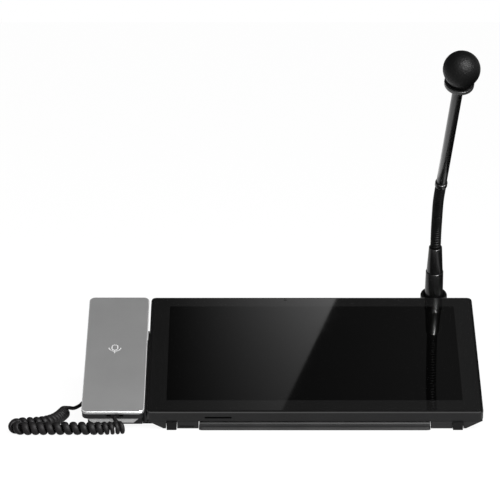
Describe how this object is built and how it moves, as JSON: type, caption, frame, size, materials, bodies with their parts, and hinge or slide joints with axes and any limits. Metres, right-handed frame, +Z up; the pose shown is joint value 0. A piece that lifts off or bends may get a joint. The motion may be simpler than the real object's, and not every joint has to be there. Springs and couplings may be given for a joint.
{
  "type": "ip paging station",
  "caption": "Desk paging station: tilted glass touch console on a wedge base, flat handset in a side cradle with a curly cord, and a gooseneck microphone with a foam ball.",
  "frame": {"origin": "on the desk, under the middle of the base plate", "axes": "+X to the right along the front edge of the glass, +Y from the user to the back, +Z up"},
  "size_m": [0.4679, 0.2459, 0.3754],
  "materials": {
    "frame_black": "satin black",
    "black_glass": "polished, black behind",
    "lens_black": "dark lens",
    "panel_grey": "dark grey",
    "housing_black": "fine grained black",
    "foot_rubber": "matt black",
    "board_green": "green lacquer",
    "base_steel": "black paint",
    "screw_steel": "plain steel",
    "socket_metal": "plated shell",
    "speaker_grey": "dark grey",
    "collar_black": "satin black",
    "mic_black": "satin black",
    "hose_black": "ribbed black",
    "capsule_metal": "plain",
    "foam_grey": "open cell foam, dark grey",
    "satin_silver": "satin silver paint",
    "cord_black": "smooth black"
  },
  "bodies": {
    "station": {"audio_socket": "socket_metal", "base_plate": "base_steel", "base_screw_1": "screw_steel", "base_screw_2": "screw_steel", "base_screw_3": "screw_steel", "base_screw_4": "screw_steel", "bracket_screw_1": "screw_steel", "bracket_screw_2": "screw_steel", "cord_socket": "socket_metal", "cover_glass": "black_glass", "cradle_body": "housing_black", "cradle_floor": "housing_black", "cradle_plug": "cord_black", "curly_cord": "cord_black", "display_panel": "panel_grey", "front_foot_left": "foot_rubber", "front_foot_right": "foot_rubber", "front_frame": "frame_black", "hook_board": "board_green", "hook_spring": "screw_steel", "hook_switch": "socket_metal", "hose_lower": "hose_black", "lan_socket": "socket_metal", "light_sensor": "lens_black", "link_block": "housing_black", "main_board": "board_green", "mic_bracket": "housing_black", "mic_collar": "collar_black", "mic_sleeve": "mic_black", "mic_socket": "socket_metal", "mic_taper": "mic_black", "pedestal": "housing_black", "port_panel": "panel_grey", "rear_cover": "housing_black", "speaker": "speaker_grey"},
    "handset": {"handset_face": "satin_silver", "handset_band": "housing_black", "handset_shell": "satin_silver", "ear_cap": "housing_black", "mouth_cap": "housing_black", "receiver": "speaker_grey", "mouth_mic": "capsule_metal", "handset_plug": "cord_black"},
    "plunger": {"hook_plunger": "collar_black"},
    "gooseneck_middle": {"hose_upper": "hose_black"},
    "mic_head": {"joint_ring": "mic_black", "mic_tube": "mic_black", "mic_cup": "mic_black", "mic_capsule": "capsule_metal", "foam_ball": "foam_grey"}
  },
  "joints": [
    {"name": "handset_lift", "type": "slide", "parent": "station", "child": "handset", "axis": [0, -0.4258, 0.9048], "range_m": [0, 0.1]},
    {"name": "hook_plunger", "type": "slide", "parent": "station", "child": "plunger", "axis": [0, -0.4258, 0.9048], "range_m": [0, 0.003], "deforming": ["hook_spring"]},
    {"name": "gooseneck_nod", "type": "hinge", "parent": "station", "child": "gooseneck_middle", "pos_m": [0.1285, 0.08608, 0.17985], "axis": [1, 0, 0], "range_deg": [-30, 30], "deforming": ["hose_lower"]},
    {"name": "gooseneck_sway", "type": "hinge", "parent": "gooseneck_middle", "child": "mic_head", "pos_m": [0.1285, 0.05611, 0.21314], "axis": [0, 0.7431, 0.6691], "range_deg": [-30, 30], "deforming": ["hose_upper"]}
  ],
  "couplings": [
    {"joint": "hook_plunger", "follows": "handset_lift", "ratio": 0.03}
  ]
}
